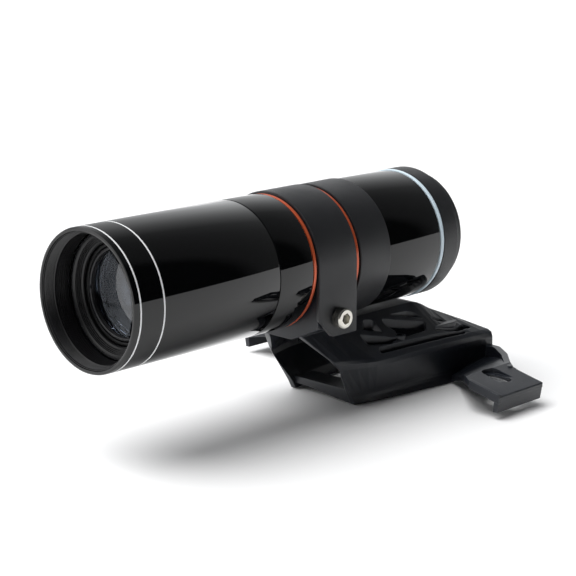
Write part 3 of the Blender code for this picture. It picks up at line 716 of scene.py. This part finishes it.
def build_strap():
    inner, outer = 22.4, outer_radius("clamp_strap")
    front, rear = ends("clamp_strap")
    bottom, slant = STRAP_BOTTOM, 6.4
    section = fillet(washer(front, rear, inner, outer), 0.4, 3)
    rings = []

    def station(direction, drop, forward):
        ring = []
        for y, radius in section:
            shift = forward * (rear - y) / (rear - front)
            ring.append(place(direction[0] * radius, y + shift, direction[1] * radius - drop))
        rings.append(ring)

    ear = [(23.6, 6.65), (23.4, 6.2), (-bottom - slant, 0.2), (-bottom - slant - 0.5, 0.0), (8.0, 0.0)]
    for drop, forward in ear:
        station((1.0, 0.0), drop, forward)
    steps = 80
    for step in range(steps + 1):
        angle = math.pi * step / steps
        station((math.cos(angle), math.sin(angle)), 0.0, 0.0)
    for drop, forward in reversed(ear):
        station((-1.0, 0.0), drop, forward)
    count = len(section)
    verts = [point for ring in rings for point in ring]
    faces = []
    for i in range(len(rings) - 1):
        for j in range(count):
            k = (j + 1) % count
            faces.append((i * count + j, i * count + k, (i + 1) * count + k, (i + 1) * count + j))
    faces.append(tuple(range(count)))
    faces.append(tuple(range((len(rings) - 1) * count, len(rings) * count)))
    strap = mesh_piece("clamp_strap_band", verts, faces, "matte", "bracket", 32.0)
    past, hole_r = 26, 2.3
    hole = [(-past, 0.0), (-past, hole_r), (past, hole_r), (past, 0.0)]
    bore = turned_piece("strap_hole", hole, "matte", "bracket", SMALL, (SCREW_Y, SCREW_Z), "x")
    cut_away(strap, bore)
    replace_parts(strap, "clamp_strap")
    liner = washer(*ends("strap_liner"), SEAT_R + 0.08, outer_radius("strap_liner"))
    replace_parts(turned_piece("strap_felt", liner, "liner", "bracket"), "strap_liner")


def knurled_head(name, side, seat, radius, height, body):
    """A socket screw's head: rings of points along its axis, with teeth round all but the two ends."""
    teeth, tooth_depth = 36, 0.22
    steps = teeth * 4
    # As (height above the seat, change of radius)
    levels = [
        (0.0, 0.0), (0.12, 0.12), (height - 0.55, 0.12), (height - 0.45, 0.0), (height - 0.2, -0.12),
        (height, -0.42),
    ]
    verts, faces = [], []
    for along, grow in levels:
        knurl = tooth_depth if 0.05 < along < height - 0.5 else 0.0
        for step in range(steps):
            angle = 2 * math.pi * step / steps
            tooth = knurl * (0.5 - 0.5 * math.cos(2 * math.pi * (step % 4) / 4))
            r = radius - 0.14 + grow - tooth
            y, z = SCREW_Y + r * math.cos(angle), SCREW_Z + r * math.sin(angle)
            verts.append(place(side * (seat + along), y, z))
    for level in range(len(levels) - 1):
        low, high = level * steps, (level + 1) * steps
        for step in range(steps):
            after = (step + 1) % steps
            faces.append((low + step, low + after, high + after, high + step))
    faces.append(tuple(range(steps)))
    faces.append(tuple(range((len(levels) - 1) * steps, len(levels) * steps)))
    return mesh_piece(name, verts, faces, "steel", body, 28.0)


def build_clamp_screw(side, tag):
    seat = 24.4
    head_r, head_h = 3.6, 3.3
    body = f"screw_{tag}"
    head = knurled_head(f"clamp_screw_{tag}_head", side, seat, head_r, head_h, body)
    start, end = sorted((side * (seat + head_h - 2.2), side * (seat + head_h + 1)))
    drive = hexagon((SCREW_Y, SCREW_Z), 2.0, 0.2)
    cut_away(head, prism_piece("socket_cut", drive, start, end, "steel", body, "x"))
    shank = [(side * 17.9, 0.0), (side * 17.9, 1.6)]
    shank += [(side * x, r) for x, r in sawtooth(18.1, 23.1, 1.68, 1.95, 0.5)]
    shank += [(side * seat, 1.9), (side * seat, 0.0)]
    middle = (SCREW_Y, SCREW_Z)
    turned_piece(f"clamp_screw_{tag}_shank", shank, "steel", body, SMALL, middle, "x", sharp=20)
    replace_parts(head, f"clamp_screw_{tag}")


def repaint():
    """Gives the CAD pieces that stay their detailed finish."""
    kept = {
        "bracket": "moulding", "baffle_front": "inner", "baffle_rear": "inner", "sensor_plate": "matte",
        "sensor_window": "clear", "image_sensor": "sensor", "sensor_board": "board", "main_board": "board",
        "insert_near": "brass", "insert_far": "brass",
    }
    for node, look in kept.items():
        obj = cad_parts[node]
        for mat_slot in obj.material_slots:
            mat_slot.material = LOOKS[look]


# ---------------------------------------------------------------- stage


def build_floor():
    nodes = Nodes("floor_paper")
    where = position(nodes)
    cloud = nodes.noise(where, 3.0, 2.0)
    nodes.link(nodes.mix(cloud, (0.93, 0.93, 0.935), (0.95, 0.95, 0.95)), nodes.shader.inputs["Base Color"])
    nodes.shader.inputs["Roughness"].default_value = 0.75
    nodes.shader.inputs["Specular IOR Level"].default_value = 0.2
    mesh = bpy.data.meshes.new("studio_floor")
    low = cad_bounds[0][2] - 0.0002
    size = 6.0
    corners = [(-size, -size, low), (size, -size, low), (size, size, low), (-size, size, low)]
    mesh.from_pydata(corners, [], [(0, 1, 2, 3)])
    mesh.materials.append(nodes.material)
    floor = bpy.data.objects.new("studio_floor", mesh)
    bpy.context.scene.collection.objects.link(floor)


def build_world():
    """A dark room with a bright wall on the -X side, so that gloss is lit on top and black below."""
    world = bpy.data.worlds.new("studio")
    bpy.context.scene.world = world
    world.use_nodes = True
    tree = world.node_tree
    toward = tree.nodes.new("ShaderNodeTexCoord")
    split = tree.nodes.new("ShaderNodeSeparateXYZ")
    tree.links.new(toward.outputs["Generated"], split.inputs[0])
    lift = tree.nodes.new("ShaderNodeMapRange")
    lift.inputs["From Min"].default_value = -1.0
    lift.inputs["From Max"].default_value = 1.0
    tree.links.new(split.outputs[0], lift.inputs["Value"])
    ramp = tree.nodes.new("ShaderNodeValToRGB")
    # As (x of the direction looked in, brightness)
    stops = [
        (-1.0, 0.95), (-0.58, 0.9), (-0.37, 0.55), (-0.15, 0.23), (0.06, 0.16), (0.52, 0.11), (0.64, 0.015),
        (1.0, 0.01),
    ]
    ramp.color_ramp.interpolation = "LINEAR"
    while len(ramp.color_ramp.elements) < len(stops):
        ramp.color_ramp.elements.new(0.5)
    for element, (along, level) in zip(ramp.color_ramp.elements, stops):
        element.position = (along + 1) / 2
    for element, (along, level) in zip(ramp.color_ramp.elements, stops):
        element.color = (level * 0.97, level * 0.985, level, 1.0)
    tree.links.new(lift.outputs[0], ramp.inputs[0])
    tree.links.new(ramp.outputs[0], tree.nodes["Background"].inputs["Color"])
    tree.nodes["Background"].inputs["Strength"].default_value = 1.0


def build_daylight():
    data = bpy.data.lights.new("daylight", "SUN")
    data.energy = 3.3
    data.angle = math.radians(50)
    sun = bpy.data.objects.new("daylight", data)
    bpy.context.scene.collection.objects.link(sun)
    sun.rotation_euler = (math.radians(22), math.radians(-14), 0)
    sun.visible_glossy = False


def build_front_fill():
    data = bpy.data.lights.new("front_fill", "AREA")
    data.shape = "RECTANGLE"
    data.size = 1.4
    data.size_y = 1.4
    data.energy = 5.0
    data.color = (1.0, 0.99, 0.97)
    light = bpy.data.objects.new("front_fill", data)
    bpy.context.scene.collection.objects.link(light)
    light.location = (-0.7, -1.3, 0.7)
    aim = Vector((0, -0.05, 0.04)) - Vector(light.location)
    light.rotation_euler = aim.to_track_quat("-Z", "Y").to_euler()


def build_camera():
    data = bpy.data.cameras.new("camera")
    data.sensor_width = 36.0
    data.lens = 110.0
    data.clip_start = 0.01
    data.clip_end = 50.0
    camera = bpy.data.objects.new("camera", data)
    bpy.context.scene.collection.objects.link(camera)
    azimuth, elevation = math.radians(44.42), math.radians(13.61)
    camera.location = (0.4156, -0.4778, 0.1769)
    level = math.cos(elevation)
    forward = Vector((-math.sin(azimuth) * level, math.cos(azimuth) * level, -math.sin(elevation)))
    camera.rotation_euler = forward.to_track_quat("-Z", "Y").to_euler()
    bpy.context.scene.camera = camera


build_camera()
build_front_tube()
build_barrel()
build_orange_ring("orange_ring_front")
build_orange_ring("orange_ring_rear")
build_sleeves()
build_cap()
build_sockets()
build_cap_screws()
build_optics()
build_strap()
build_clamp_screw(1, "near")
build_clamp_screw(-1, "far")
repaint()
build_floor()
build_world()
build_daylight()
build_front_fill()
bpy.context.scene.view_settings.view_transform = "Standard"
